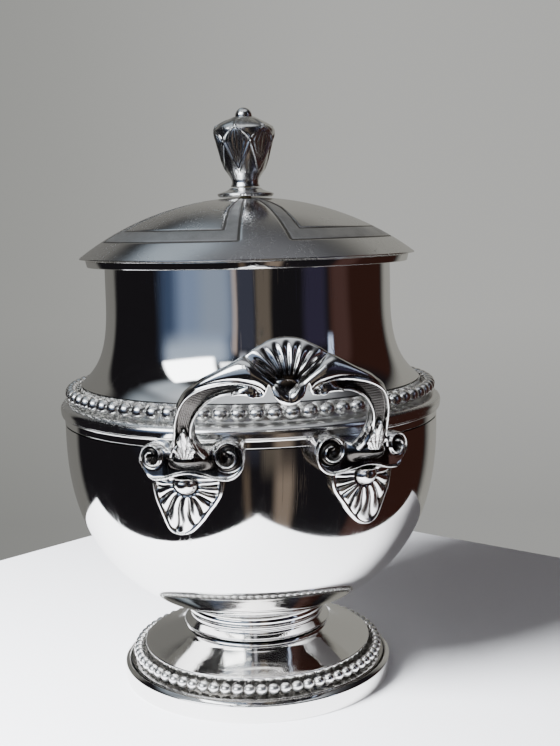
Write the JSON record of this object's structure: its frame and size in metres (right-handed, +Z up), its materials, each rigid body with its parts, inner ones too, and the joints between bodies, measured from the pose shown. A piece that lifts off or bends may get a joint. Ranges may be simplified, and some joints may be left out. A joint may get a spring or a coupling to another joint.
{
  "type": "lidded sugar bowl",
  "caption": "Silver-plated covered sugar bowl on a spreading foot, with cast loop handles on scroll saddles, beaded bands and a lift-off domed lid with a bud finial.",
  "frame": {"origin": "centre of the underside of the foot, on the surface that the bowl stands on", "axes": "+Z up along the bowl's axis, the handles at +X and -X"},
  "size_m": [0.1478, 0.108, 0.1626],
  "materials": {
    "spun_silver_plate": "polished silver plate, lightly scratched from use",
    "lid_silver_plate": "silver plate worn to a soft gloss, with engraved panels",
    "cast_silver_plate": "cast ornament, polished on the high places and dark in the recesses",
    "brass_fixings": "turned brass, unplated and dulled"
  },
  "bodies": {
    "bowl": {"foot_rim": "spun_silver_plate", "foot_shell": "spun_silver_plate", "foot_bead_ring": "cast_silver_plate", "stem_collar": "spun_silver_plate", "bowl_shell": "spun_silver_plate", "shoulder_band": "spun_silver_plate", "shoulder_bead_ring": "cast_silver_plate", "neck_shell": "spun_silver_plate", "mouth_rim": "spun_silver_plate", "right_handle_arch": "cast_silver_plate", "right_front_scroll_saddle": "cast_silver_plate", "right_rear_scroll_saddle": "cast_silver_plate", "right_front_palmette": "cast_silver_plate", "right_rear_palmette": "cast_silver_plate", "left_handle_arch": "cast_silver_plate", "left_front_scroll_saddle": "cast_silver_plate", "left_rear_scroll_saddle": "cast_silver_plate", "left_front_palmette": "cast_silver_plate", "left_rear_palmette": "cast_silver_plate"},
    "lid": {"lid_dome": "lid_silver_plate", "lid_seat_band": "lid_silver_plate", "lid_bezel": "lid_silver_plate", "finial_disc": "cast_silver_plate", "finial_bud": "cast_silver_plate", "finial_washer": "brass_fixings", "finial_nut": "brass_fixings", "finial_stud": "brass_fixings"}
  },
  "joints": [
    {"name": "lid_lift", "type": "slide", "parent": "bowl", "child": "lid", "axis": [0, 0, 1], "range_m": [0, 0.05]}
  ]
}
